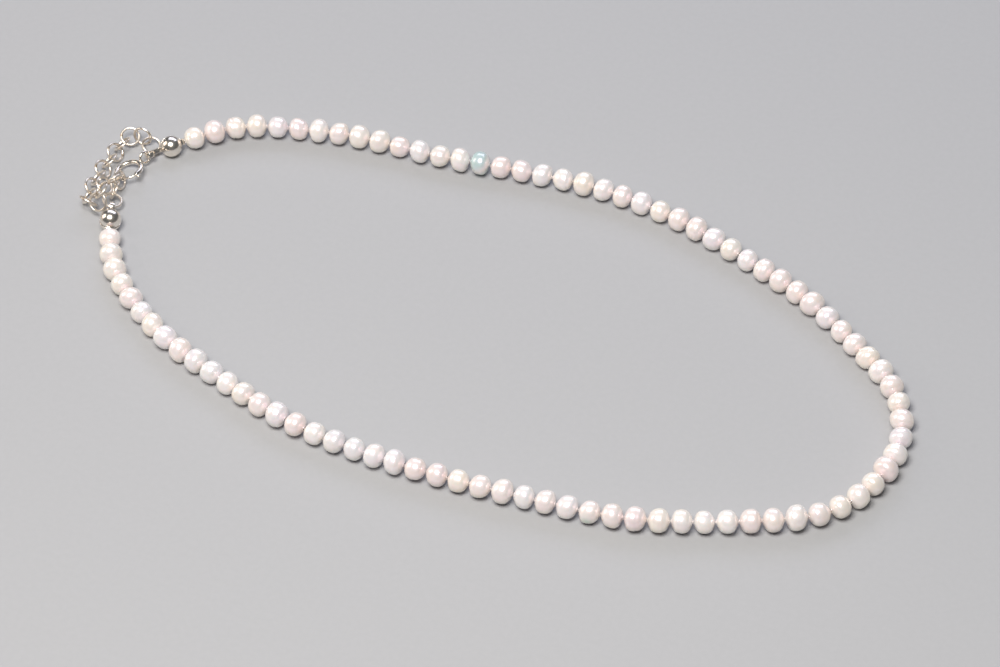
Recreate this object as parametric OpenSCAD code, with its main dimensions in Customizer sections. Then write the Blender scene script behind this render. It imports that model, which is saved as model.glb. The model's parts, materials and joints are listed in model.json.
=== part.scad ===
// Pearl choker, clasped shut and laid down as a long oval. One thread carries the pearls and is
// crimped inside a clamshell bead tip at each end. A spring ring hangs from one bead tip and hooks
// the third link of the extender chain that hangs from the other. Millimetres, +Z up, table at Z = 0.

/* [Pearls] */
// Mean diameter of a pearl across the thread
pearl_d = 4.7; // [3.5:0.1:6.5]
// Mean thickness of a pearl along the thread
pearl_t = 4.05; // [3:0.05:5.5]
// How far pearls differ from the mean diameter
pearl_d_spread = 0.3; // [0:0.05:0.5]
// How far pearls differ from the mean thickness
pearl_t_spread = 0.16; // [0:0.02:0.3]
// Space between two neighbouring pearls
pearl_gap = 0.1; // [0.06:0.02:0.3]
// Diameter of the hole drilled through a pearl
drill_d = 0.9; // [0.7:0.05:1.2]
// Diameter of the stringing thread
thread_d = 0.3; // [0.2:0.05:0.4]

/* [Bead tips] */
// Outside diameter of the closed clamshell
tip_d = 4.2; // [3.4:0.1:5]
// Thickness of the silver sheet
sheet = 0.3; // [0.2:0.05:0.4]
// Length of the folded hinge between the clamshell and the first pearl
hinge_l = 0.65; // [0.5:0.05:1]
// Width of the folded hinge
hinge_w = 1.2; // [0.9:0.1:1.6]
// Width of the tongue that curls into an eye
tongue_w = 1; // [0.8:0.1:1.2]
// Inside diameter of the eye
eye_d = 1.4; // [1.3:0.1:1.8]
// Centre of the clamshell to the centre of the eye, clasp end
clasp_tongue_l = 4.6; // [4:0.1:6]
// Centre of the clamshell to the centre of the eye, extender end
extender_tongue_l = 3.8; // [3.6:0.1:5]
// How far the clamshell at the extender end stands open
extender_tip_open = 14; // [0:1:20]
// Outside diameter of the crimp bead that holds the thread
crimp_d = 1.3; // [1:0.1:1.6]
// Length of the crimp bead
crimp_l = 1.4; // [1:0.1:1.8]
// Space round the thread in the crimp bead and in the hinge
thread_play = 0.12; // [0.08:0.02:0.2]

/* [Spring ring] */
// Outside diameter of the spring ring
ring_d = 6; // [5:0.25:8]
// Diameter of its tube
tube_d = 0.95; // [0.8:0.05:1.3]
// Wall of its tube
tube_wall = 0.17; // [0.12:0.01:0.25]
// Space round the bolt in the tube
bolt_play = 0.06; // [0.04:0.01:0.1]
// Angle of the opening that the bolt closes
gate_angle = 60; // [45:1:70]
// Angle that the thumb lever draws the bolt back
trigger_travel = 36; // [25:1:40]
// Diameter of the ball on the thumb lever
lever_ball_d = 0.7; // [0.5:0.05:1]
// Diameter of the lever's pin
lever_pin_d = 0.22; // [0.18:0.02:0.3]
// Outside diameter of the small loop soldered to the ring
loop_d = 2.7; // [2.5:0.1:3.4]
// Wire of the small loop
loop_wire = 0.5; // [0.4:0.05:0.6]

/* [Extender chain] */
// Outside diameter of a link
link_d = 4; // [3.4:0.1:5]
// Wire of a link
link_wire = 0.5; // [0.4:0.05:0.7]
// Slack at each joint between the bead tips and the clasp
hook_slack = 0.2; // [0.14:0.02:0.3]
// Slack where a round piece hangs in a bead tip's flat eye
eye_slack = 0.4; // [0.3:0.05:0.5]

/* [Hidden] */
PEARL_GROUPS = 29;
GROUP_SIZE = 3;
LINKS = 18;
HOOKED_LINK = 3;
function two_digits(n) = str(n < 10 ? "0" : "", n);
function pearls_name(g) = str("pearls_", two_digits(g));
function link_name(n) = str("extender_link_", two_digits(n));

// How the necklace lies: one closed loop, clasp at the left, long axis along X.
ROUTE = [
    [-71, 18], [-65, 24], [-57, 28], [-42, 32], [-25, 34], [-9, 37], [7, 39], [23, 38],
    [39, 34], [54, 29], [67, 22], [76, 16], [81, 9], [83, 1], [82, -7], [79, -14],
    [73, -20], [60, -27], [45, -33], [28, -36], [12, -38], [-5, -39], [-21, -38], [-37, -34],
    [-52, -29], [-66, -20], [-73, -11], [-76, -5], [-78, 0], [-78.5, 5], [-77, 10], [-74.5, 14]
];
// The loop's first point lies this far along the thread from the first pearl's outer end.
ROUTE_START = 1.5;
// Where the free end of the chain lies, measured from the hooked link: over the other links and
// the tongue, down to the table, then up beside the clasp. Heights are above the table.
TAIL = [
    [0, -1.7, 3.8], [-0.8, -4.1, 4], [-0.2, -6.3, 5], [0, -8.2, 3.5], [-2.3, -8, 2.6],
    [-3.4, -5.9, 1.6], [-4, -3.5, 1.6], [-4.3, -1, 1.6], [-4.6, 1.5, 1.6], [-4.6, 4, 1.6],
    [-4.7, 6.5, 1.6], [-4.6, 9, 1.7], [-4.1, 11.4, 1.8], [-1.8, 12.3, 2], [0.5, 11.6, 1.1]
];
// The size of link, and the heading from the hooked link to the first, that those places are given for
TAIL_LINK_D = 4;
TAIL_HEADING = -74.7;
// How far a bead tip may lie below the middle of its end pearl, where the thread bends up to it
TIP_DROP = 0.2;
// How each piece is turned about the line of the chain
RING_ROLL = -16;
LOOP_ROLL = 63;
CLASP_TIP_ROLL = 55;
EXTENDER_TIP_ROLL = 12;
CHAIN_ROLLS = [12, -63, 66];
TAIL_ROLLS = [54, -42, 48, -42, 48, -44, 45, -45, 46, -45, 48, -44, 25, 78, 2];

// Fineness of curves
$fn = 48;
BALL_FN = 72;
PEARL_STEPS = 12;
ROUTE_STEPS = 12;
THREAD_SIDES = 8;

// Plain numbers that follow from the sizes above
pearl_count = PEARL_GROUPS * GROUP_SIZE;
tip_r = tip_d / 2;
eye_r = eye_d / 2;
tube_r = tube_d / 2;
bore_r = tube_r - tube_wall;
bolt_r = bore_r - bolt_play;
ring_r = ring_d / 2 - tube_r;
link_r = (link_d - link_wire) / 2;
link_hole_r = link_d / 2 - link_wire;
loop_r = (loop_d - loop_wire) / 2;
loop_hole_r = loop_d / 2 - loop_wire;
chain_z = link_d * 0.4875;
ring_z = tube_r + ring_r * 0.45;
solder_film = 0.01;

// Pearls differ a little, without a pattern that the eye can follow.
function sway(i, a, b) = (sin(a * i) + sin(b * i)) / 2;
function pearl_dia(i) = pearl_d + pearl_d_spread * sway(i, 137, 61);
function pearl_thick(i) = pearl_t + pearl_t_spread * sway(i, 101, 47);
// Where each pearl starts along the thread
starts = [for (i = 0, s = 0; i <= pearl_count; s = s + pearl_thick(i) + pearl_gap, i = i + 1) s];
strand_l = starts[pearl_count] - pearl_gap;

// Stations along the closed loop, from the last pearl back to the first
s_extender_eye = strand_l + pearl_gap + hinge_l + tip_r + extender_tongue_l;
s_link_1 = s_extender_eye + eye_r + link_hole_r - eye_slack;
link_pitch = 2 * link_hole_r - hook_slack;
s_link_2 = s_link_1 + link_pitch;
s_link_3 = s_link_2 + link_pitch;
hook_reach = link_hole_r + ring_r - tube_r - hook_slack;
s_ring = s_link_3 + sqrt(hook_reach * hook_reach - (chain_z - ring_z) * (chain_z - ring_z));
ring_to_loop = ring_r + tube_r + loop_r + loop_wire / 2 + solder_film;
s_loop = s_ring + ring_to_loop;
s_clasp_eye = s_loop + loop_hole_r + eye_r - eye_slack;
loop_l = s_clasp_eye + clasp_tongue_l + tip_r + hinge_l + pearl_gap;

// A smooth closed curve through the route's points, scaled so that the pieces just fill it
function blend(a, b, c, d, u) =
    0.5 * (2 * b + (c - a) * u + (2 * a - 5 * b + 4 * c - d) * u * u + (3 * b - a - 3 * c + d) * u * u * u);
function route_point(i) = ROUTE[(i + len(ROUTE)) % len(ROUTE)];
raw = [for (i = [0 : len(ROUTE) - 1], k = [0 : ROUTE_STEPS - 1])
    blend(route_point(i - 1), route_point(i), route_point(i + 1), route_point(i + 2), k / ROUTE_STEPS)];
closed = concat(raw, [raw[0]]);
function step(i) = i == 0 ? 0 : norm(closed[i] - closed[i - 1]);
raw_at = [for (i = 0, s = 0; i < len(closed); i = i + 1, s = s + (i < len(closed) ? step(i) : 0)) s];
route_scale = loop_l / raw_at[len(raw_at) - 1];
xs = [for (i = [0 : len(closed) - 1]) [raw_at[i], closed[i][0]]];
ys = [for (i = [0 : len(closed) - 1]) [raw_at[i], closed[i][1]]];
function wrap(s) = s < 0 ? s + loop_l : (s >= loop_l ? s - loop_l : s);
function flat_at(s) =
    let (r = wrap(s - ROUTE_START) / route_scale)
    route_scale * [lookup(r, xs), lookup(r, ys)];

// The box of the whole object sits on the table with its middle at the origin.
function at(s, z) = [flat_at(s)[0], flat_at(s)[1], z];
function unit(v) = v / norm(v);
function level(v) = [v[0], v[1], 0];

// Pearls
function pearl_mid(i) = starts[i] + pearl_thick(i) / 2;
function pearl_place(i) = at(pearl_mid(i), pearl_dia(i) / 2);
function pearl_way(i) = unit(at(pearl_mid(i) + 0.5, 0) - at(pearl_mid(i) - 0.5, 0));

// Bead tips lie on the line from the end pearl to their eye.
function tip_z(i) = max(tip_r, pearl_dia(i) / 2 - TIP_DROP);
function tip_place(i, end, eye) =
    level(end) + (hinge_l + tip_r) * unit(level(eye - end)) + [0, 0, tip_z(i)];
clasp_end = at(-pearl_gap, 0);
clasp_eye = at(s_clasp_eye, chain_z);
clasp_tip = tip_place(0, clasp_end, clasp_eye);
extender_end = at(strand_l + pearl_gap, 0);
extender_eye = at(s_extender_eye, chain_z);
extender_tip = tip_place(pearl_count - 1, extender_end, extender_eye);

// Clasp and chain
link_places = [at(s_link_1, chain_z), at(s_link_2, chain_z), at(s_link_3, chain_z)];
ring_place = at(s_ring, ring_z);
ring_way = at(s_loop, chain_z) - ring_place;
tail_scale = link_d / TAIL_LINK_D;
hooked_run = link_places[0] - link_places[2];
tail_turn = atan2(hooked_run[1], hooked_run[0]) - TAIL_HEADING;
function turned(p, a) = [p[0] * cos(a) - p[1] * sin(a), p[0] * sin(a) + p[1] * cos(a), p[2]];
tail_places = [for (p = TAIL) level(link_places[2]) + tail_scale * turned(p, tail_turn)];
function chain_place(n) =
    n == 0 ? extender_eye : (n <= HOOKED_LINK ? link_places[n - 1] : tail_places[n - HOOKED_LINK - 1]);
function chain_roll(n) = n <= HOOKED_LINK ? CHAIN_ROLLS[n - 1] : TAIL_ROLLS[n - HOOKED_LINK - 1];
function chain_way(n) =
    n == HOOKED_LINK ? ring_place - chain_place(n - 1) :
    (n == LINKS ? chain_place(n) - chain_place(n - 1) : chain_place(n + 1) - chain_place(n - 1));

// The whole object's box, from its outermost pieces
pearl_places = [for (i = [0 : pearl_count - 1]) pearl_place(i)];
function link_reach(n) =
    let (way = unit(chain_way(n)), side = unit(cross([0, 0, 1], way)), up = cross(way, side),
        axis = cos(chain_roll(n)) * up - sin(chain_roll(n)) * side)
    link_r * sqrt(1 - axis[0] * axis[0]) + link_wire / 2;
right_x = max([for (i = [0 : pearl_count - 1]) pearl_places[i][0] + pearl_dia(i) / 2]);
left_x = min([for (n = [1 : LINKS]) chain_place(n)[0] - link_reach(n)]);
back_y = max([for (i = [0 : pearl_count - 1]) pearl_places[i][1] + pearl_dia(i) / 2]);
front_y = min([for (i = [0 : pearl_count - 1]) pearl_places[i][1] - pearl_dia(i) / 2]);
origin_shift = [-(right_x + left_x) / 2, -(back_y + front_y) / 2, 0];

// Turns its child, drawn along +X and lying flat, along a line and about it.
module along(place, way, roll = 0) {
    translate(origin_shift + place)
        rotate([roll, -asin(unit(way)[2]), atan2(way[1], way[0])])
            children();
}

module wire_ring(r, wire, span = 360, start = 0) {
    rotate([0, 0, start])
        rotate_extrude(angle = span)
            translate([r, 0])
                circle(d = wire);
}

// One pearl, drilled along X
module pearl(d, t) {
    half = acos(drill_d / d);
    rotate([0, 90, 0])
        rotate_extrude()
            polygon([for (k = [0 : PEARL_STEPS])
                let (a = half * (2 * k / PEARL_STEPS - 1)) [d / 2 * cos(a), t / 2 * sin(a)]]);
}

module pearls(g) {
    first = (g - 1) * GROUP_SIZE;
    color("ivory")
        for (i = [first : first + GROUP_SIZE - 1])
            along(pearl_place(i), pearl_way(i))
                pearl(pearl_dia(i), pearl_thick(i));
}

// The thread runs from crimp bead to crimp bead through the middle of every pearl.
function thread_end(end, tip, eye) = tip + (hinge_l + tip_r) * unit(tip - eye);
thread_path = concat(
    [clasp_tip, thread_end(clasp_end, clasp_tip, clasp_eye)],
    pearl_places,
    [thread_end(extender_end, extender_tip, extender_eye), extender_tip]
);
function thread_ring(i) =
    let (
        last = len(thread_path) - 1,
        way = unit(thread_path[min(i + 1, last)] - thread_path[max(i - 1, 0)]),
        side = unit(cross([0, 0, 1], way)),
        up = cross(way, side)
    )
    [for (k = [0 : THREAD_SIDES - 1])
        let (a = 360 * k / THREAD_SIDES)
        origin_shift + thread_path[i] + thread_d / 2 * (cos(a) * side + sin(a) * up)];

module thread() {
    rings = len(thread_path);
    points = [for (i = [0 : rings - 1]) each thread_ring(i)];
    walls = [for (i = [0 : rings - 2], k = [0 : THREAD_SIDES - 1])
        let (a = i * THREAD_SIDES + k, b = i * THREAD_SIDES + (k + 1) % THREAD_SIDES)
        [b, a, a + THREAD_SIDES, b + THREAD_SIDES]];
    first_cap = [for (k = [0 : THREAD_SIDES - 1]) k];
    last_cap = [for (k = [0 : THREAD_SIDES - 1]) rings * THREAD_SIDES - 1 - k];
    color("white")
        polyhedron(points, concat([first_cap], walls, [last_cap]));
}

// Half of the hollow clamshell, above the seam when side is 1 and below it when side is -1
module cup(side) {
    seam = 0.06;
    difference() {
        sphere(d = tip_d, $fn = BALL_FN);
        sphere(d = tip_d - 2 * sheet, $fn = BALL_FN);
        translate([-tip_d, -tip_d, side > 0 ? seam - 2 * tip_d : -seam])
            cube([2 * tip_d, 2 * tip_d, 2 * tip_d]);
        translate([-tip_d, 0, 0])
            rotate([0, 90, 0])
                cylinder(d = thread_d + 2 * thread_play, h = tip_d);
    }
}

// A clamshell bead tip: its hinge points along -X to the pearls, its eye lies along +X.
module bead_tip(tongue_l, open) {
    color("silver") {
        cup(-1);
        translate([-tip_r, 0, 0])
            rotate([0, -open, 0])
                translate([tip_r, 0, 0])
                    cup(1);
        difference() {
            translate([-tip_r - hinge_l, -hinge_w / 2, -hinge_w / 2])
                cube([hinge_l + sheet, hinge_w, hinge_w]);
            translate([-tip_d, 0, 0])
                rotate([0, 90, 0])
                    cylinder(d = thread_d + 2 * thread_play, h = tip_d);
        }
        translate([tip_r - sheet - 0.1, -tongue_w / 2, -eye_r - sheet])
            cube([tongue_l - tip_r + sheet + 0.1, tongue_w, sheet]);
        translate([tongue_l, tongue_w / 2, 0])
            rotate([90, 0, 0])
                rotate([0, 0, -90])
                    rotate_extrude(angle = 300)
                        translate([eye_r, 0])
                            square([sheet, tongue_w]);
    }
}

module crimp_bead() {
    color("silver")
        translate([-crimp_l / 2, 0, 0])
            rotate([0, 90, 0])
                difference() {
                    cylinder(d = crimp_d, h = crimp_l);
                    translate([0, 0, -1])
                        cylinder(d = thread_d + 2 * thread_play, h = crimp_l + 2);
                }
}

// Angles round the spring ring, from the loop. The bolt closes the gate, and its tail and the
// spring lie in the tube between the gate and the loop.
gate_from = -155;
gate_to = gate_from + gate_angle;
nose_depth = 6;
tail_depth = 22;
stop_from = -12;
stop_to = -4;
slot_end_play = 4;
lever_at = gate_to + 2;

module spring_ring_tube() {
    slot_w = lever_pin_d + 2 * bolt_play;
    slot_to = lever_at + trigger_travel + slot_end_play;
    color("silver")
        along(ring_place, ring_way, RING_ROLL)
            difference() {
                wire_ring(ring_r, tube_d, 360 - gate_angle, gate_to);
                wire_ring(ring_r, 2 * bore_r, stop_from - gate_to + 1, gate_to - 1);
                wire_ring(ring_r, 2 * bore_r, gate_from + 361 - stop_to, stop_to);
                rotate([0, 0, gate_to - 1])
                    rotate_extrude(angle = slot_to - gate_to + 1)
                        translate([ring_r, -slot_w / 2])
                            square([tube_d, slot_w]);
            }
}

module spring_ring_bolt() {
    color("silver")
        along(ring_place, ring_way, RING_ROLL) {
            wire_ring(ring_r, 2 * bolt_r, gate_angle + nose_depth + tail_depth, gate_from - nose_depth);
            rotate([0, 0, lever_at])
                translate([ring_r, 0, 0]) {
                    rotate([0, 90, 0])
                        cylinder(d = lever_pin_d, h = tube_r + lever_ball_d / 2);
                    translate([tube_r + lever_ball_d / 2 + bolt_play, 0, 0])
                        sphere(d = lever_ball_d);
                }
        }
}

// The spring pushes the bolt's tail towards the gate.
module spring_ring_spring() {
    turns = 7;
    turn_steps = 10;
    sides = 6;
    wire_r = 0.05;
    coil_r = bolt_r - wire_r;
    from = gate_to + tail_depth + 2;
    span = stop_from - 2 - from;
    count = turns * turn_steps;
    path = [for (i = [0 : count])
        let (a = from + span * i / count, b = 360 * i / turn_steps, r = ring_r + coil_r * cos(b))
        [r * cos(a), r * sin(a), coil_r * sin(b)]];
    function ways(i) = unit(path[min(i + 1, count)] - path[max(i - 1, 0)]);
    points = [for (i = [0 : count])
        let (
            a = from + span * i / count,
            mid = [ring_r * cos(a), ring_r * sin(a), 0],
            way = ways(i),
            side = unit(cross(way, path[i] - mid)),
            up = cross(way, side)
        )
        each [for (k = [0 : sides - 1]) path[i] + wire_r * (cos(60 * k) * side + sin(60 * k) * up)]];
    walls = [for (i = [0 : count - 1], k = [0 : sides - 1])
        let (a = i * sides + k, b = i * sides + (k + 1) % sides)
        [b, a, a + sides, b + sides]];
    color("silver")
        along(ring_place, ring_way, RING_ROLL)
            polyhedron(points, concat([[for (k = [0 : sides - 1]) k]], walls,
                [[for (k = [0 : sides - 1]) (count + 1) * sides - 1 - k]]));
}

module spring_ring_loop() {
    color("silver")
        along(ring_place, ring_way, RING_ROLL)
            translate([ring_to_loop, 0, 0])
                rotate([LOOP_ROLL - RING_ROLL, 0, 0])
                    wire_ring(loop_r, loop_wire);
}

module extender_link(n) {
    color("silver")
        along(chain_place(n), chain_way(n), chain_roll(n))
            wire_ring(link_r, link_wire);
}

for (g = [1 : PEARL_GROUPS])
    pearls(g);
thread();
along(clasp_tip, clasp_eye - clasp_tip, -CLASP_TIP_ROLL) bead_tip(clasp_tongue_l, 0);  // clasp_bead_tip
along(extender_tip, extender_eye - extender_tip, EXTENDER_TIP_ROLL)  // extender_bead_tip
        bead_tip(extender_tongue_l, extender_tip_open);
along(clasp_tip, clasp_eye - clasp_tip) crimp_bead();  // clasp_crimp_bead
along(extender_tip, extender_eye - extender_tip) crimp_bead();  // extender_crimp_bead
spring_ring_tube();
spring_ring_bolt();
spring_ring_spring();
spring_ring_loop();
for (n = [1 : LINKS])
    extender_link(n);
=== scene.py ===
import json
import math
import random

import bmesh
import bpy
import numpy as np
from mathutils import Matrix, Vector, noise


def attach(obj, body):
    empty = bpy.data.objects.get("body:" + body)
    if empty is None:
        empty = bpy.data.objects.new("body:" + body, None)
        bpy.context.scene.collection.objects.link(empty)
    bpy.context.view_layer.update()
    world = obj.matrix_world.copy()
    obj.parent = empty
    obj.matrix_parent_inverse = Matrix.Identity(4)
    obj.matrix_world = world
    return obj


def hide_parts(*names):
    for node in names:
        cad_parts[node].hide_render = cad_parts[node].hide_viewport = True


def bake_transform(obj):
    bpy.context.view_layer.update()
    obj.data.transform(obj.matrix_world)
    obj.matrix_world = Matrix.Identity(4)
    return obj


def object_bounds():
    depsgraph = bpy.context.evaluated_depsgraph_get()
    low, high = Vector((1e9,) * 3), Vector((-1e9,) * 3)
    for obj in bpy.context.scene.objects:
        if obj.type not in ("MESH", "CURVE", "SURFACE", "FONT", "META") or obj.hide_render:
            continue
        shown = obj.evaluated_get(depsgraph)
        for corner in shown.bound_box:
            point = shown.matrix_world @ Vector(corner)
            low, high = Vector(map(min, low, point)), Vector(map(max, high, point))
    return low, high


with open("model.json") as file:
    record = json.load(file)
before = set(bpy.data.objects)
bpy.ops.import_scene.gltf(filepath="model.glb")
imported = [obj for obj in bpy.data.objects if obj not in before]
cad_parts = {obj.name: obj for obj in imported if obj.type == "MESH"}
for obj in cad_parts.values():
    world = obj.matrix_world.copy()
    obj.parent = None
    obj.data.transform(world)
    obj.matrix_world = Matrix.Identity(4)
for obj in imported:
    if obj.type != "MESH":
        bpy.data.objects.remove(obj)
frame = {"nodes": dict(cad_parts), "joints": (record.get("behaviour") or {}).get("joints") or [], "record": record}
CAD_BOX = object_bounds()
MM = 0.001
BODIES = frame["record"]["behaviour"]["bodies"]
JOINTS = {j["name"]: j for j in frame["joints"]}

# The camera looks down on the oval from the front, turned so that the clasp lies at the upper left.
AIM = Vector((5.18, -2.68, 2.35)) * MM
CAMERA_DISTANCE = 748.5 * MM
CAMERA_HEIGHT_ANGLE = math.radians(48.06)
CAMERA_TURN = math.radians(27)
CAMERA_ROLL = math.radians(-1.6)


# ---------------------------------------------------------------------------------------------
# Materials
# ---------------------------------------------------------------------------------------------

def linear(hex_colour):
    """An sRGB hex colour as linear light, fully opaque."""
    parts = [int(hex_colour[i:i + 2], 16) / 255 for i in (0, 2, 4)]
    return (*[p / 12.92 if p <= 0.04045 else ((p + 0.055) / 1.055) ** 2.4 for p in parts], 1.0)


def add(tree, kind, settings=None, links=None, **values):
    """Adds a node: settings are its own options, links join its inputs to outputs, and values go on its
    inputs, with _ for a space in an input's name."""
    made = tree.nodes.new(kind)
    for key, value in (settings or {}).items():
        setattr(made, key, value)
    for key, value in values.items():
        made.inputs[key.replace("_", " ")].default_value = value
    for key, source in (links or {}).items():
        tree.links.new(source, made.inputs[key])
    return made


def new_material(name):
    made = bpy.data.materials.new(name)
    made.use_nodes = True
    made.node_tree.nodes.clear()
    return made, made.node_tree


def close_material(tree, shader):
    add(tree, "ShaderNodeOutputMaterial", links={"Surface": shader.outputs["BSDF"]})


def ramp(tree, factor, stops):
    made = add(tree, "ShaderNodeValToRGB", links={"Fac": factor})
    while len(made.color_ramp.elements) < len(stops):
        made.color_ramp.elements.new(0.5)
    for element, (place, colour) in zip(made.color_ramp.elements, stops):
        element.position = place
        element.color = colour
    return made.outputs["Color"]


def nacre():
    """Freshwater nacre, tumbled and polished: many thin translucent layers of aragonite over a pale core.
    Light goes a little way in, so the shadow side glows; the surface gives a soft broad highlight, and the
    layers give faint pink and green at a glance. Colour of each pearl is held on its own mesh."""
    made, tree = new_material("polished_freshwater_nacre")
    place = add(tree, "ShaderNodeTexCoord").outputs["Object"]
    body = add(tree, "ShaderNodeAttribute", {"attribute_name": "nacre_colour"})
    rings = add(tree, "ShaderNodeAttribute", {"attribute_name": "growth_rings"})
    # Cloudy growth zones about 2.4 mm across
    clouds = add(tree, "ShaderNodeTexNoise", links={"Vector": place},
                 Scale=420.0, Detail=2.0, Roughness=0.5)
    cloud_tint = ramp(tree, clouds.outputs["Fac"], [
        (0.34, linear("F6EFF4")), (0.50, linear("FFFFFF")), (0.66, linear("FFF8EE"))])
    colour = add(tree, "ShaderNodeMix", {"data_type": "RGBA", "blend_type": "MULTIPLY"},
                 {"A": body.outputs["Color"], "B": cloud_tint}, Factor=0.45)
    # Orange-peel ripple about 0.8 mm across, and rings round the drill axis, both far shallower than a hair
    ripple = add(tree, "ShaderNodeTexNoise", links={"Vector": place},
                 Scale=1200.0, Detail=1.0, Roughness=0.4)
    relief = add(tree, "ShaderNodeMath", {"operation": "MULTIPLY_ADD"},
                 {0: rings.outputs["Fac"], 2: ripple.outputs["Fac"]})
    ring_depth = relief.inputs[1]
    ring_depth.default_value = 0.8
    bump = add(tree, "ShaderNodeBump", links={"Height": relief.outputs["Value"]},
               Strength=0.06, Distance=0.00006)
    gloss = add(tree, "ShaderNodeMapRange", links={"Value": clouds.outputs["Fac"]}, To_Min=0.22, To_Max=0.29)
    # A little metallic stands for the light that the layers throw back; the thin film is in nanometres
    shader = add(tree, "ShaderNodeBsdfPrincipled",
                 links={"Base Color": colour.outputs["Result"], "Roughness": gloss.outputs["Result"],
                        "Normal": bump.outputs["Normal"]},
                 IOR=1.62, Metallic=0.18,
                 Subsurface_Weight=0.15, Subsurface_Radius=(1.0, 0.82, 0.72), Subsurface_Scale=0.0009,
                 Coat_Weight=0.55, Coat_Roughness=0.11, Coat_IOR=1.5,
                 Thin_Film_Thickness=430.0, Thin_Film_IOR=1.85,
                 Sheen_Weight=0.16, Sheen_Roughness=0.35, Sheen_Tint=linear("F3D9D6"))
    close_material(tree, shader)
    return made


def silver(name, light, dark, smooth, dull):
    """Sterling silver, polished and lightly worn: a warm white metal whose finest polishing marks spread the
    highlight, darker where it is tarnished, and darker still where shade is painted into the hollow of a bead
    tip's cups. The marks are drawn 0.2 mm apart, coarser than life, so they show.
    smooth and dull are the roughness where it is clean and where it is darkened."""
    made, tree = new_material(name)
    place = add(tree, "ShaderNodeTexCoord").outputs["Object"]
    # This mark darkens the metal: tarnished spots on most pieces, and painted shade in the hollow of each bead
    # tip's cups.
    darkening = add(tree, "ShaderNodeAttribute", {"attribute_name": "tarnish_and_painted_shade"})
    blotch = add(tree, "ShaderNodeTexNoise", links={"Vector": place},
                 Scale=900.0, Detail=4.0, Roughness=0.6)
    amount = add(tree, "ShaderNodeMath", {"operation": "MULTIPLY_ADD", "use_clamp": True},
                 {0: darkening.outputs["Fac"], 2: blotch.outputs["Fac"]})
    darkening_share = amount.inputs[1]
    darkening_share.default_value = 0.9
    colour = ramp(tree, amount.outputs["Value"], [
        (0.50, linear(light)), (0.85, linear(dark)), (1.0, linear("8A7A68"))])
    stretch = add(tree, "ShaderNodeMapping", links={"Vector": place},
                  Scale=(5000.0, 700.0, 5000.0), Rotation=(0.4, 0.3, 0.7))
    marks = add(tree, "ShaderNodeTexNoise", links={"Vector": stretch.outputs["Vector"]},
                Scale=1.0, Detail=2.0)
    bump = add(tree, "ShaderNodeBump", links={"Height": marks.outputs["Fac"]},
               Strength=0.05, Distance=0.00002)
    gloss = add(tree, "ShaderNodeMapRange", links={"Value": amount.outputs["Value"]},
                From_Min=0.4, To_Min=smooth, To_Max=dull)
    shader = add(tree, "ShaderNodeBsdfPrincipled",
                 links={"Base Color": colour, "Roughness": gloss.outputs["Result"],
                        "Normal": bump.outputs["Normal"]},
                 Metallic=1.0)
    close_material(tree, shader)
    return made


def waxed_thread():
    """Twisted nylon beading thread with a little wax: off-white, with fine plies about 0.15 mm apart."""
    made, tree = new_material("waxed_nylon_thread")
    place = add(tree, "ShaderNodeTexCoord").outputs["Object"]
    plies = add(tree, "ShaderNodeTexNoise", links={"Vector": place}, Scale=6600.0, Detail=2.0)
    colour = ramp(tree, plies.outputs["Fac"], [(0.3, linear("CFC6B8")), (0.7, linear("F1ECE2"))])
    bump = add(tree, "ShaderNodeBump", links={"Height": plies.outputs["Fac"]},
               Strength=0.5, Distance=0.00003)
    shader = add(tree, "ShaderNodeBsdfPrincipled",
                 links={"Base Color": colour, "Normal": bump.outputs["Normal"]}, Roughness=0.55)
    close_material(tree, shader)
    return made


NACRE = nacre()
SILVER = silver("polished_sterling_silver", "F6EFE5", "D0C1AC", 0.20, 0.36)
WIRE_SILVER = silver("drawn_sterling_wire", "F5ECE0", "CDBBA4", 0.29, 0.44)
SPRING_STEEL = silver("spring_temper_wire", "D8D4CE", "A8A299", 0.25, 0.45)
THREAD = waxed_thread()


# ---------------------------------------------------------------------------------------------
# Places, read from the solids
# ---------------------------------------------------------------------------------------------

SAME_POINT = 1e-7


def points_of(node):
    """The points of a node's mesh, in metres."""
    mesh = frame["nodes"][node].data
    found = np.empty(len(mesh.vertices) * 3)
    mesh.vertices.foreach_get("co", found)
    return found.reshape(-1, 3)


def separate_points(node):
    """The points of each separate solid in a node."""
    bm = bmesh.new()
    bm.from_mesh(frame["nodes"][node].data)
    bmesh.ops.remove_doubles(bm, verts=bm.verts, dist=SAME_POINT)
    groups = []
    done = set()
    for start in bm.verts:
        if start in done:
            continue
        done.add(start)
        group, edge = [start], [start]
        while edge:
            for e in edge.pop().link_edges:
                for v in e.verts:
                    if v not in done:
                        done.add(v)
                        group.append(v)
                        edge.append(v)
        groups.append(np.array([v.co for v in group]))
    bm.free()
    return groups


def lie_of(points, nearest=None):
    """Centre, own axes and sizes of a round solid. The first axis is the one nearest to a given direction,
    or else the thinnest."""
    _, axes = np.linalg.eigh(np.cov((points - points.mean(0)).T))
    order = 0 if nearest is None else int(np.argmax(np.abs(axes.T @ np.array(nearest))))
    first = Vector(axes[:, order])
    if nearest is not None and first.dot(Vector(nearest)) < 0:
        first.negate()
    upright = abs(first.z) > 0.99
    second = (first.orthogonal() if upright else first.cross(Vector((0, 0, 1)))).normalized()
    third = first.cross(second)
    turned = points @ np.array([first, second, third]).T
    low, high = turned.min(0), turned.max(0)
    mid = (low + high) / 2
    centre = first * mid[0] + second * mid[1] + third * mid[2]
    return centre, (first, second, third), high - low


def placed(centre, x_axis, y_axis):
    """A matrix from millimetres in a piece's own axes to its place in metres."""
    x = x_axis.normalized()
    z = x.cross(y_axis).normalized()
    y = z.cross(x)
    turn = Matrix((x, y, z)).transposed().to_4x4()
    return Matrix.Translation(centre) @ turn @ Matrix.Scale(MM, 4)


def joint_place(name):
    return Vector(JOINTS[name]["pos_m"])


def body_with(node):
    """The body that a node rides on."""
    return next(body for body, nodes in BODIES.items() if node in nodes)


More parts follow.
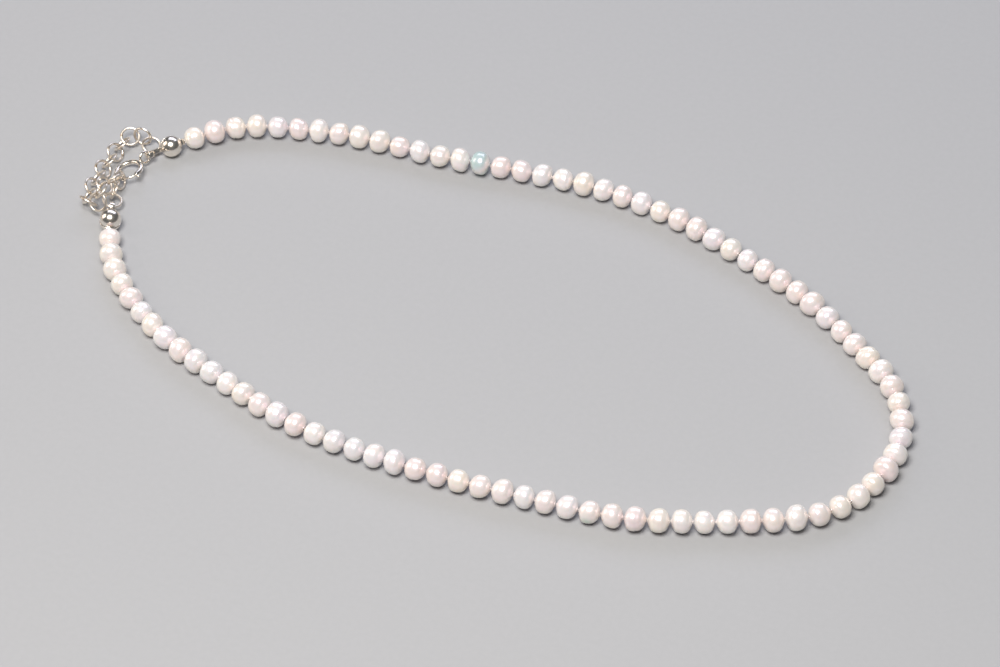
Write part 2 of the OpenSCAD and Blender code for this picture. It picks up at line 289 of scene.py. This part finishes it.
# ---------------------------------------------------------------------------------------------
# Making pieces
# ---------------------------------------------------------------------------------------------

SHARP_CORNER = math.radians(40)


def make_piece(name, bm, place, body, material, nodes):
    """Finishes a piece that stands for some nodes. Its body may be None, and then it rides on no body."""
    bmesh.ops.recalc_face_normals(bm, faces=bm.faces)
    bmesh.ops.transform(bm, matrix=place, verts=bm.verts)
    for face in bm.faces:
        face.smooth = True
    mesh = bpy.data.meshes.new(name)
    bm.to_mesh(mesh)
    bm.free()
    mesh.set_sharp_from_angle(angle=SHARP_CORNER)
    mesh.materials.append(material)
    piece = bpy.data.objects.new(name, mesh)
    bpy.context.scene.collection.objects.link(piece)
    if body:
        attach(piece, body)
    if nodes:
        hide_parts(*nodes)
    return piece


def hoop(bm, ring_r, wire_r, start=0.0, span=360.0, steps=48, sides=12):
    """A wire bent round the Z axis, or a closed one if its span is full. Returns its two end loops."""
    section = (Matrix.Rotation(math.radians(start), 4, "Z") @ Matrix.Translation((ring_r, 0, 0))
               @ Matrix.Rotation(math.radians(90), 4, "X"))
    made = bmesh.ops.create_circle(bm, cap_ends=False, segments=sides, radius=wire_r, matrix=section)
    verts = made["verts"]
    edges = list(dict.fromkeys(e for v in verts for e in v.link_edges))
    full = span >= 360
    spun = bmesh.ops.spin(bm, geom=verts + edges, cent=(0, 0, 0), axis=(0, 0, 1), dvec=(0, 0, 0),
                          angle=math.radians(span), steps=steps, use_merge=full, use_duplicate=False)
    last = [g for g in spun["geom_last"] if isinstance(g, bmesh.types.BMEdge)]
    return edges, last


def round_over(bm, edges, offset, segments=2):
    bmesh.ops.bevel(bm, geom=edges, affect="EDGES", offset=offset, segments=segments, profile=0.5,
                    material=-1)


def corners(bm, least):
    """The edges where two faces meet at more than so many degrees."""
    return [e for e in bm.edges if len(e.link_faces) == 2 and e.calc_face_angle(0) > math.radians(least)]


def end_faces(bm, loops, rounding):
    """Closes a wire's two ends and rounds them."""
    for loop in loops:
        made = bmesh.ops.contextual_create(bm, geom=[e for e in loop if e.is_valid])
        round_over(bm, [e for f in made["faces"] for e in f.edges], rounding, segments=3)


def hole_rim(bm, radius):
    """The two rims of a hole along the X axis."""
    return [e for e in bm.edges
            if all(abs(math.hypot(v.co.y, v.co.z) - radius) < 1e-4 for v in e.verts)
            and abs(e.verts[0].co.x - e.verts[1].co.x) < 1e-5]


def face_outwards(bm, side=1):
    """Turns an open shell's faces outwards before it gets its thickness. Its furthest face along Z, up or
    down by side, is the one that tells."""
    bmesh.ops.recalc_face_normals(bm, faces=bm.faces)
    furthest = max(bm.faces, key=lambda f: side * f.calc_center_median().z)
    if furthest.normal.z * side < 0:
        bmesh.ops.reverse_faces(bm, faces=bm.faces)


def mark(piece, name, values):
    """Writes one number per point on a piece."""
    attribute = piece.data.attributes.new(name, "FLOAT", "POINT")
    attribute.data.foreach_set("value", values)


# ---------------------------------------------------------------------------------------------
# Pearls
# ---------------------------------------------------------------------------------------------

DRILL_D = 0.9
DRILL_RIM = 0.09
# Each pearl is a hair thinner than its solid, so that leaning neighbours stay apart when the strand bends
NEIGHBOUR_SLACK = 0.985
PEARL_TINTS = ["FAF8F4", "F9F3EF", "F5F4F6", "FAF5EB", "F6ECEA", "FBFAF7", "F1F3F4", "F8F1ED", "F7F4EC"]
LILAC = np.array(linear("E6DEEA")[:3])
PEACH = np.array(linear("F5E3D6")[:3])
SEA_GREEN = np.array(linear("C4DCDD")[:3])
GREEN_PATCH = np.array(linear("CFE3D6")[:3])
CLOUD_SHARE = 0.26
BLUISH_PEARL = 15
PATCHED_PEARL = 58


def drilled_ball(thick, wide):
    """A flattened ball on the drill axis, with the rims of its hole rounded."""
    bm = bmesh.new()
    bmesh.ops.create_circle(bm, cap_ends=False, segments=52, radius=1)
    bmesh.ops.bisect_plane(bm, geom=bm.verts[:] + bm.edges[:], plane_co=(0, DRILL_D / wide, 0),
                           plane_no=(0, 1, 0), clear_inner=True)
    ends = [v for v in bm.verts if len(v.link_edges) == 1]
    bmesh.ops.contextual_create(bm, geom=ends)
    bmesh.ops.scale(bm, vec=(thick / 2, wide / 2, 1), verts=bm.verts)
    bmesh.ops.spin(bm, geom=bm.verts[:] + bm.edges[:], cent=(0, 0, 0), axis=(1, 0, 0), dvec=(0, 0, 0),
                   angle=math.tau, steps=44, use_merge=True, use_duplicate=False)
    bmesh.ops.remove_doubles(bm, verts=bm.verts, dist=1e-5)
    round_over(bm, hole_rim(bm, DRILL_D / 2), DRILL_RIM)
    return bm


def grow(bm, luck, thick, wide):
    """Makes a ball lopsided: leaning, egg-shaped, oval, full-shouldered, lumpy, and grooved now and then."""
    lean, lean_way = luck.uniform(0.02, 0.16), luck.uniform(0, math.tau)
    egg = luck.uniform(-0.05, 0.05)
    oval, oval_way = luck.uniform(0, 0.06), luck.uniform(0, math.tau)
    fullness = luck.uniform(0.03, 0.07)
    lumps = luck.uniform(0.02, 0.055)
    drift = Vector((luck.uniform(-9, 9), luck.uniform(-9, 9), luck.uniform(-9, 9)))
    groove = luck.choice([0, 0, 0, 0, 0.03, 0.05])
    groove_at = luck.uniform(-0.35, 0.35) * thick
    groove_width = 0.16
    for v in bm.verts:
        x, y, z = v.co
        across = math.hypot(y, z)
        skin = max(0.0, across - DRILL_D / 2) / (wide / 2 - DRILL_D / 2)
        turn = math.atan2(z, y)
        along = 2 * x / thick
        factor = 1 - abs(egg) + egg * along
        factor *= 1 - oval * (0.5 + 0.5 * math.cos(2 * (turn - oval_way)))
        factor *= 1 + fullness * (1 - along * along) * along * along * 4
        factor -= lumps * (0.5 + 0.5 * noise.noise(v.co * 0.55 + drift)) * 0.8
        factor -= groove * math.exp(-((x - groove_at) / groove_width) ** 2)
        spread = 1 + (factor - 1) * min(1.0, skin * 1.6)
        v.co.y *= spread
        v.co.z *= spread
        v.co.x = x + lean * skin * across * math.cos(turn - lean_way) * 0.9
    return drift


def nacre_colours(bm, luck, drift, number, wide):
    """One colour for each point: the pearl's own tint, with clouds of peach and lilac in it."""
    tint = np.array(linear(luck.choice(PEARL_TINTS))[:3])
    drift = drift * 1.7
    found = []
    for v in bm.verts:
        warm = CLOUD_SHARE * (0.5 + 0.5 * noise.noise(v.co * 0.32 + drift))
        cool = CLOUD_SHARE * (0.5 + 0.5 * noise.noise(v.co * 0.38 - drift))
        colour = tint * (1 - warm) + PEACH * warm
        colour = colour * (1 - cool) + LILAC * cool
        if number == BLUISH_PEARL:
            band = 0.75 * math.exp(-((v.co.x * 0.4 + v.co.z * 0.7 - v.co.y * 0.2 + 0.1) / 0.75) ** 2)
            colour = SEA_GREEN * (1 - band) + colour * band
        if number == PATCHED_PEARL:
            away = (v.co - Vector((0.1, -wide * 0.40, wide * 0.05))).length
            near = math.exp(-(away / 0.9) ** 2)
            colour = colour * (1 - near) + GREEN_PATCH * near
        found.append(colour)
    return found


def pearl(number, points, way, body, node):
    """A drilled freshwater pearl in the place of its solid. Returns its centre."""
    centre, axes, size = lie_of(points, way)
    thick, wide = size[0] / MM * NEIGHBOUR_SLACK, max(size[1], size[2]) / MM
    luck = random.Random(number * 7919)
    bm = drilled_ball(thick, wide)
    drift = grow(bm, luck, thick, wide)
    rings = [noise.noise(Vector((v.co.x * 5.0, number * 3.1, 0.5))) for v in bm.verts]
    colours = nacre_colours(bm, luck, drift, number, wide)
    place = placed(centre, axes[0], axes[1])
    piece = make_piece("pearl_%02d" % number, bm, place, body, NACRE, [node])
    mark(piece, "growth_rings", rings)
    paint = piece.data.color_attributes.new("nacre_colour", "FLOAT_COLOR", "POINT")
    paint.data.foreach_set("color", [c for colour in colours for c in (*colour, 1.0)])
    return centre


def pearls_in_order():
    """Every pearl's points from the clasp end on, with its node and body."""
    found = []
    start = joint_place("clasp_tip_swing")
    for node in sorted(n for n in frame["nodes"] if n.startswith("pearls_")):
        body = body_with(node)
        solids = separate_points(node)
        while solids:
            solids.sort(key=lambda p: (Vector((p.min(0) + p.max(0)) / 2) - start).length)
            near = solids.pop(0)
            start = Vector((near.min(0) + near.max(0)) / 2)
            found.append((near, start.copy(), node, body))
    return found


ORDER = pearls_in_order()
CENTRES = []
for i, (points, middle, node, body) in enumerate(ORDER):
    before = ORDER[i - 1][1] if i else joint_place("clasp_tip_swing")
    after = ORDER[i + 1][1] if i + 1 < len(ORDER) else joint_place("extender_tip_swing")
    way = after - before
    way.z = 0
    CENTRES.append(pearl(i + 1, points, way.normalized(), body, node))


# ---------------------------------------------------------------------------------------------
# Silver findings
# ---------------------------------------------------------------------------------------------

TIP_R = 2.1
SHEET = 0.3
CUP_GAP = 0.05
LIP_ROUND = 0.07
FOLD_ROUND = 0.06
HINGE_L = 0.65
HINGE_W = 1.2
HINGE_ROOT = 0.35
TONGUE_W = 1.0
EYE_R = 0.7
EYE_TURN = 300
CRIMP_WALL = 0.3
CRIMP_PINCH = 0.28
CRIMP_JAW = 0.32
ALONG_X = Matrix.Rotation(math.radians(90), 4, "Y")


def strip(bm, section, steps):
    """Folds a strip of sheet: section is its first cross-section, steps are straight pulls and turns."""
    face = bm.faces.new([bm.verts.new(corner) for corner in section])
    for kind, *rest in steps:
        if kind == "pull":
            out = bmesh.ops.extrude_face_region(bm, geom=[face])
            verts = [g for g in out["geom"] if isinstance(g, bmesh.types.BMVert)]
            bmesh.ops.translate(bm, vec=rest[0], verts=verts)
            face = next(g for g in out["geom"] if isinstance(g, bmesh.types.BMFace))
        else:
            centre, angle, count = rest
            out = bmesh.ops.spin(bm, geom=[face], cent=centre, axis=(0, -1, 0), dvec=(0, 0, 0),
                                 angle=math.radians(angle), steps=count, use_merge=False, use_duplicate=False)
            face = next(g for g in out["geom_last"] if isinstance(g, bmesh.types.BMFace))


def add_part(bm, part):
    """Moves a part into the mesh of its piece."""
    mesh = bpy.data.meshes.new("part")
    part.to_mesh(mesh)
    part.free()
    bm.from_mesh(mesh)
    bpy.data.meshes.remove(mesh)


def add_folded_strip(bm, section, steps):
    part = bmesh.new()
    strip(part, section, steps)
    bmesh.ops.recalc_face_normals(part, faces=part.faces)
    round_over(part, corners(part, 60), FOLD_ROUND)
    add_part(bm, part)


def add_cup(bm, side, lift):
    """One hollow half of the clamshell, with a rounded lip, opened about its hinge by so many degrees."""
    part = bmesh.new()
    bmesh.ops.create_uvsphere(part, u_segments=48, v_segments=32, radius=TIP_R)
    bmesh.ops.bisect_plane(part, geom=part.verts[:] + part.edges[:] + part.faces[:],
                           plane_co=(0, 0, side * CUP_GAP), plane_no=(0, 0, side), clear_inner=True)
    face_outwards(part, side)
    bmesh.ops.solidify(part, geom=part.faces[:], thickness=SHEET)
    lip = [e for e in corners(part, 50) if all(abs(v.co.z - side * CUP_GAP) < 0.02 for v in e.verts)]
    round_over(part, lip, LIP_ROUND, segments=3)
    if lift:
        opened = Matrix.Rotation(-math.radians(lift), 3, "Y")
        bmesh.ops.rotate(part, cent=(-TIP_R, 0, 0), matrix=opened, verts=part.verts)
    add_part(bm, part)


def bead_tip(name, crimp, towards, roll, tongue, lift, body, nodes):
    """A clamshell bead tip, stamped and folded from one sheet: two cups, the hinge that the thread comes out
    of, and a tongue that curls into an eye. Returns its centre and the way to its eye."""
    centre, axes, _ = lie_of(points_of(crimp), towards)
    bm = bmesh.new()
    add_cup(bm, -1, 0)
    add_cup(bm, 1, lift)
    w = TONGUE_W / 2
    z = -EYE_R - SHEET
    x = math.sqrt((TIP_R - SHEET / 2) ** 2 - z * z)
    half_way = ("pull", ((tongue - x) * 0.5, 0, 0))
    add_folded_strip(bm, [(x, -w, z), (x, w, z), (x, w, z + SHEET), (x, -w, z + SHEET)],
                     [half_way, half_way, ("turn", (tongue, 0, 0), EYE_TURN, 28)])
    h = HINGE_W / 2
    fold = -TIP_R - HINGE_L + h
    root = -TIP_R + HINGE_ROOT
    add_folded_strip(bm, [(root, -h, h - SHEET), (root, h, h - SHEET), (root, h, h), (root, -h, h)],
                     [("pull", (fold - root, 0, 0)), ("turn", (fold, 0, 0), 180, 14),
                      ("pull", (root - fold, 0, 0))])
    # Painted shade: the inside of each cup is marked 0.85, which paints the hollow near the darkest colour of the
    # metal, for the shade that falls in it.
    inside = [0.85 if v.co.length < TIP_R - SHEET * 0.75 and v.co.x < TIP_R - 0.3 else 0.0 for v in bm.verts]
    flat = axes[0].cross(Vector((0, 0, 1))).normalized()
    side = Matrix.Rotation(math.radians(roll), 3, axes[0]) @ -flat
    piece = make_piece(name, bm, placed(centre, axes[0], side), body, SILVER, nodes)
    mark(piece, "tarnish_and_painted_shade", inside)
    return centre, axes[0]


def crimp_bead(name, node, body):
    """A short silver tube pinched flat on the thread."""
    centre, axes, size = lie_of(points_of(node), CRIMP_WAYS[node])
    bm = bmesh.new()
    length, across = size[0] / MM, size[1] / MM
    bmesh.ops.create_cone(bm, cap_ends=False, segments=24, radius1=across / 2, radius2=across / 2,
                          depth=length, matrix=ALONG_X)
    lengthwise = [e for e in bm.edges if abs(e.verts[0].co.x - e.verts[1].co.x) > length / 2]
    bmesh.ops.subdivide_edges(bm, edges=lengthwise, cuts=9, use_grid_fill=True)
    bmesh.ops.solidify(bm, geom=bm.faces[:], thickness=CRIMP_WALL)
    for v in bm.verts:
        v.co.z *= 1 - CRIMP_PINCH * math.exp(-(v.co.x / CRIMP_JAW) ** 2)
    piece = make_piece(name, bm, placed(centre, axes[0], axes[1]), body, SILVER, [node])
    mark(piece, "tarnish_and_painted_shade", [0.15] * len(piece.data.vertices))


CRIMP_WAYS = {
    "clasp_crimp_bead": joint_place("spring_ring_swing") - joint_place("clasp_tip_swing"),
    "extender_crimp_bead": joint_place("link_01_swing") - joint_place("extender_tip_swing"),
}
TIP_PLACES = {
    "clasp_tip": bead_tip("clasp_bead_tip_polished", "clasp_crimp_bead", CRIMP_WAYS["clasp_crimp_bead"],
                          -55, 4.6, 0, "clasp_tip", ["clasp_bead_tip"]),
    "extender_tip": bead_tip("extender_bead_tip_polished", "extender_crimp_bead",
                             CRIMP_WAYS["extender_crimp_bead"],
                             12, 3.8, 14, "extender_tip", ["extender_bead_tip"]),
}
crimp_bead("clasp_crimp_bead_pinched", "clasp_crimp_bead", "clasp_tip")
crimp_bead("extender_crimp_bead_pinched", "extender_crimp_bead", "extender_tip")


# The spring ring. Angles are in degrees, counted from its small loop.
RING_R = 2.525
TUBE_R = 0.475
TUBE_WALL = 0.17
BOLT_R = 0.245
GATE_FROM, GATE_TO = -155, -95
LEVER_AT = -93
SLOT_TO = -53
SLOT_LEAN = 19
BOLT_TUCK, BOLT_L = 6, 88
LEVER_R, LEVER_L = 0.11, TUBE_R + 0.3
LEVER_BALL_D = 0.7
LEVER_BALL_GAP = 0.06
LOOP_R, LOOP_WIRE = 1.1, 0.5
LINK_WIRE = 0.5
# A link's wire is a little thin and uneven but for its solder, and dips at the seam; spans are in radians
WIRE_DRAW = 0.012
SOLDER_SPAN, SEAM_SPAN, SEAM_DIP = 0.13, 0.02, 0.93


def bent_tube(place):
    """The tube, with a slot for the lever and rounded mouths at the gate, dull inside."""
    bm = bmesh.new()
    hoop(bm, RING_R, TUBE_R, GATE_TO, 360 - (GATE_TO - GATE_FROM), steps=75, sides=18)
    slot = []
    for face in bm.faces:
        at = face.calc_center_median()
        turn = math.degrees(math.atan2(at.y, at.x))
        lean = math.degrees(math.atan2(at.z, math.hypot(at.x, at.y) - RING_R))
        if GATE_TO - 1 < turn < SLOT_TO and abs(lean) < SLOT_LEAN:
            slot.append(face)
    bmesh.ops.delete(bm, geom=slot, context="FACES")
    face_outwards(bm)
    bmesh.ops.solidify(bm, geom=bm.faces[:], thickness=TUBE_WALL)
    round_over(bm, corners(bm, 55), 0.035)
    darkening = []
    for v in bm.verts:
        inside = math.hypot(math.hypot(v.co.x, v.co.y) - RING_R, v.co.z) < TUBE_R - 0.05
        darkening.append(0.5 if inside else 0.0)
    tube = make_piece("spring_ring_tube_polished", bm, place, "spring_ring", SILVER,
                      ["spring_ring_tube"])
    mark(tube, "tarnish_and_painted_shade", darkening)


def bolt(place):
    """The bolt that closes the gate, with its thumb lever and the ball on its end."""
    bm = bmesh.new()
    loops = hoop(bm, RING_R, BOLT_R, GATE_FROM - BOLT_TUCK, BOLT_L, steps=26, sides=16)
    end_faces(bm, loops, 0.08)
    lever = Matrix.Rotation(math.radians(LEVER_AT), 4, "Z")
    bmesh.ops.create_cone(bm, cap_ends=True, segments=12, radius1=LEVER_R, radius2=LEVER_R, depth=LEVER_L,
                          matrix=lever @ Matrix.Translation((RING_R + LEVER_L / 2, 0, 0)) @ ALONG_X)
    ball_at = RING_R + TUBE_R + LEVER_BALL_D / 2 + LEVER_BALL_GAP
    bmesh.ops.create_uvsphere(bm, u_segments=24, v_segments=16, radius=LEVER_BALL_D / 2,
                              matrix=lever @ Matrix.Translation((ball_at, 0, 0)))
    piece = make_piece("spring_ring_bolt_polished", bm, place, "ring_bolt", SILVER,
                       ["spring_ring_bolt"])
    mark(piece, "tarnish_and_painted_shade", [0.0] * len(piece.data.vertices))


def solder_bead(place):
    """The bead of solder that holds the small loop to the tube."""
    bm = bmesh.new()
    bmesh.ops.create_uvsphere(bm, u_segments=24, v_segments=16, radius=1)
    bmesh.ops.scale(bm, vec=(0.20, 0.30, 0.27), verts=bm.verts)
    for v in bm.verts:
        v.co *= 1 + 0.10 * noise.noise(v.co * 6)
    bmesh.ops.translate(bm, vec=(RING_R + TUBE_R + 0.01, 0, 0), verts=bm.verts)
    piece = make_piece("loop_solder_bead", bm, place, "spring_ring", WIRE_SILVER, [])
    mark(piece, "tarnish_and_painted_shade", [0.35] * len(piece.data.vertices))


def spring_ring():
    middle = joint_place("trigger")
    loop_middle, loop_axes, _ = lie_of(points_of("spring_ring_loop"))
    outward = loop_middle - middle
    place = placed(middle, outward, Vector(JOINTS["trigger"]["axis"]).cross(outward))
    bent_tube(place)
    bolt(place)
    bm = bmesh.new()
    hoop(bm, LOOP_R, LOOP_WIRE / 2, steps=48, sides=14)
    loop_place = placed(loop_middle, outward, loop_axes[0].cross(outward))
    loop = make_piece("spring_ring_loop_polished", bm, loop_place, "spring_ring", SILVER,
                      ["spring_ring_loop"])
    mark(loop, "tarnish_and_painted_shade", [0.0] * len(loop.data.vertices))
    solder_bead(place)


def extender_link(number):
    """A ring of drawn wire, closed with a little solder that stands slightly proud."""
    node = "extender_link_%02d" % number
    centre, axes, size = lie_of(points_of(node))
    luck = random.Random(number * 104729)
    bm = bmesh.new()
    radius = (size[1] / MM - LINK_WIRE) / 2
    hoop(bm, radius, LINK_WIRE / 2)
    seam = luck.uniform(-math.pi, math.pi)
    darkening = []
    for v in bm.verts:
        turn = math.atan2(v.co.y, v.co.x)
        apart = (turn - seam + math.pi) % math.tau - math.pi
        core = Vector((math.cos(turn), math.sin(turn), 0)) * radius
        away = v.co - core
        swell = 1 - WIRE_DRAW * (0.5 + 0.5 * noise.noise(v.co * 1.3 + Vector((number, 0, 0))))
        if abs(apart) < SOLDER_SPAN:
            swell = 1.0
        if abs(apart) < SEAM_SPAN:
            swell = SEAM_DIP
        v.co = core + away * swell
        darkening.append(0.55 * math.exp(-(apart / 0.12) ** 2))
    piece = make_piece(node + "_soldered", bm, placed(centre, axes[1], axes[2]), body_with(node),
                       WIRE_SILVER, [node])
    mark(piece, "tarnish_and_painted_shade", darkening)


spring_ring()
for number in range(1, 19):
    extender_link(number)


def coil_spring():
    """The spring behind the bolt, as its solid stands. Its far end rests on the stop."""
    bm = bmesh.new()
    bm.from_mesh(frame["nodes"]["spring_ring_spring"].data)
    bmesh.ops.remove_doubles(bm, verts=bm.verts, dist=SAME_POINT)
    bolt = Vector(points_of("spring_ring_bolt").mean(0))
    piece = make_piece("spring_ring_coil", bm, Matrix.Identity(4), None, SPRING_STEEL,
                       ["spring_ring_spring"])
    mark(piece, "tarnish_and_painted_shade", [0.2] * len(piece.data.vertices))
    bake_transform(piece)


coil_spring()


# ---------------------------------------------------------------------------------------------
# Thread: one length in life, shown in stretches so that it bends where the strand bends
# ---------------------------------------------------------------------------------------------

THREAD_R = 0.15
THREAD_NODE_GROUP = 14


def thread_stretch(name, path, body, nodes):
    """One stretch of the thread along a path, as a closed tube."""
    curve = bpy.data.curves.new(name, "CURVE")
    curve.dimensions = "3D"
    curve.bevel_depth = THREAD_R * MM
    curve.bevel_resolution = 2
    curve.use_fill_caps = True
    line = curve.splines.new("POLY")
    line.points.add(len(path) - 1)
    for point, place in zip(line.points, path):
        point.co = (*place, 1)
    drawn = bpy.data.objects.new(name + "_line", curve)
    bpy.context.scene.collection.objects.link(drawn)
    shaped = drawn.evaluated_get(bpy.context.evaluated_depsgraph_get())
    mesh = bpy.data.meshes.new_from_object(shaped)
    bpy.data.objects.remove(drawn)
    mesh.name = name
    mesh.materials.clear()
    mesh.materials.append(THREAD)
    for polygon in mesh.polygons:
        polygon.use_smooth = True
    piece = bpy.data.objects.new(name, mesh)
    bpy.context.scene.collection.objects.link(piece)
    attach(piece, body)
    if nodes:
        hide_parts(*nodes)


for group in range(29):
    own = CENTRES[3 * group:3 * group + 3]
    first = (CENTRES[3 * group - 1] + own[0]) / 2 if group else joint_place("clasp_tip_swing")
    last = (CENTRES[3 * group + 3] + own[2]) / 2 if group < 28 else joint_place("extender_tip_swing")
    first.z = first.z if group else own[0].z
    last.z = last.z if group < 28 else own[2].z
    thread_stretch("thread_%02d" % (group + 1), [first, *own, last], "pearls_%02d" % (group + 1),
                   ["thread"] if group == THREAD_NODE_GROUP else [])
for name, body, end in (("thread_clasp_end", "clasp_tip", "clasp_tip_swing"),
                        ("thread_extender_end", "extender_tip", "extender_tip_swing")):
    middle, way = TIP_PLACES[body]
    at_hinge = middle - way * (TIP_R + HINGE_L) * MM * 0.9
    thread_stretch(name, [joint_place(end), at_hinge, middle + way * 0.6 * MM], body, [])


# ---------------------------------------------------------------------------------------------
# Stage
# ---------------------------------------------------------------------------------------------

FLOOR_DROP = 0.02 * MM


def floor():
    """Matt studio paper, whose fibres are drawn about 1 mm apart so that they just show."""
    made, tree = new_material("matt_studio_paper")
    place = add(tree, "ShaderNodeTexCoord").outputs["Object"]
    fibre = add(tree, "ShaderNodeTexNoise", links={"Vector": place}, Scale=900.0, Detail=3.0)
    colour = ramp(tree, fibre.outputs["Fac"], [(0.2, linear("A3A4A6")), (0.8, linear("A6A7A9"))])
    shader = add(tree, "ShaderNodeBsdfPrincipled", links={"Base Color": colour}, Roughness=0.6)
    close_material(tree, shader)
    bm = bmesh.new()
    bmesh.ops.create_grid(bm, x_segments=1, y_segments=1, size=3.0)
    mesh = bpy.data.meshes.new("floor")
    bm.to_mesh(mesh)
    bm.free()
    mesh.materials.append(made)
    ground = bpy.data.objects.new("floor", mesh)
    ground.location.z = CAD_BOX[0][2] - FLOOR_DROP
    bpy.context.scene.collection.objects.link(ground)


def softbox(name, place, size, power, colour):
    """A rectangular light aimed at the middle of the necklace."""
    light = bpy.data.lights.new(name, "AREA")
    light.shape = "RECTANGLE"
    light.size, light.size_y = size
    light.energy = power
    light.color = linear(colour)[:3]
    lamp = bpy.data.objects.new(name, light)
    lamp.location = place
    lamp.rotation_euler = (AIM - Vector(place)).to_track_quat("-Z", "Y").to_euler()
    bpy.context.scene.collection.objects.link(lamp)


def camera():
    level = math.cos(CAMERA_HEIGHT_ANGLE)
    forward = Vector((-math.sin(CAMERA_TURN) * level, math.cos(CAMERA_TURN) * level,
                      -math.sin(CAMERA_HEIGHT_ANGLE)))
    right = Vector((math.cos(CAMERA_TURN), math.sin(CAMERA_TURN), 0))
    up = right.cross(forward)
    right = right * math.cos(CAMERA_ROLL) + up * math.sin(CAMERA_ROLL)
    up = right.cross(forward)
    data = bpy.data.cameras.new("camera")
    data.sensor_width = 36
    data.lens = 144
    data.clip_start, data.clip_end = 0.01, 10
    eye = bpy.data.objects.new("camera", data)
    turn = Matrix((right, up, -forward)).transposed().to_4x4()
    eye.matrix_world = Matrix.Translation(AIM - forward * CAMERA_DISTANCE) @ turn
    bpy.context.scene.collection.objects.link(eye)
    bpy.context.scene.camera = eye


floor()
camera()
softbox("key_softbox", (0.02, -0.28, 0.72), (0.38, 0.30), 7.4, "FFFBF6")
softbox("back_sky", (-0.15, 0.50, 0.42), (0.70, 0.35), 1.7, "E6EAFF")
softbox("left_edge", (-0.60, -0.15, 0.30), (0.30, 0.40), 1.0, "FFF3E8")
world = bpy.data.worlds.new("studio")
world.use_nodes = True
world.node_tree.nodes["Background"].inputs["Color"].default_value = linear("E3E6EA")
world.node_tree.nodes["Background"].inputs["Strength"].default_value = 0.14
bpy.context.scene.world = world
# Colours go straight through, so that the faint tints of the nacre are not flattened.
bpy.context.scene.view_settings.view_transform = "Standard"
